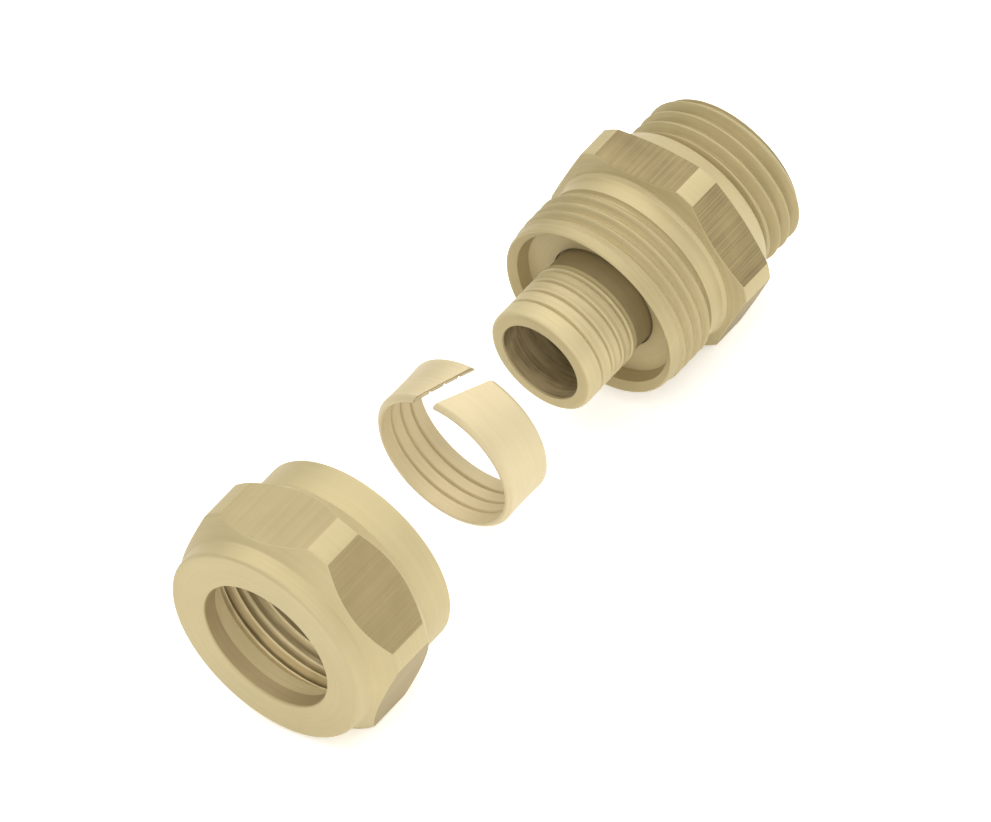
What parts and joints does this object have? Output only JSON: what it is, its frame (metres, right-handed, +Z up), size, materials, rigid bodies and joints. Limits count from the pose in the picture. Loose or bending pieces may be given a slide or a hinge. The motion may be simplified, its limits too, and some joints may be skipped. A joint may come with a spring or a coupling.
{
  "type": "compression coupling",
  "caption": "Brass compression coupling taken apart on its axis: male-threaded body with a grooved pipe spigot, split clamping ring and hexagonal union nut.",
  "frame": {"origin": "centre of the spigot's nose face, on the axis of the waterway", "axes": "+Y along the common axis towards the male pipe thread, the union nut lies towards -Y, +Z up with a flat of the nut's hexagon on top and one below, +X completes the right hand"},
  "size_m": [0.0308, 0.0855, 0.028],
  "materials": {
    "turned_brass": "satin, turned",
    "ring_brass": "satin, pale"
  },
  "bodies": {
    "body": {"coupling_body": "turned_brass"},
    "ring": {"split_ring": "ring_brass"},
    "nut": {"union_nut": "turned_brass"}
  },
  "joints": [
    {"name": "nut_slide", "type": "slide", "parent": "body", "child": "nut", "axis": [0, 1, 0], "range_m": [0, 0.05085]},
    {"name": "ring_slide", "type": "slide", "parent": "body", "child": "ring", "axis": [0, 1, 0], "range_m": [0, 0.02168]}
  ],
  "couplings": [
    {"joint": "ring_slide", "follows": "nut_slide", "ratio": 0.42639}
  ]
}
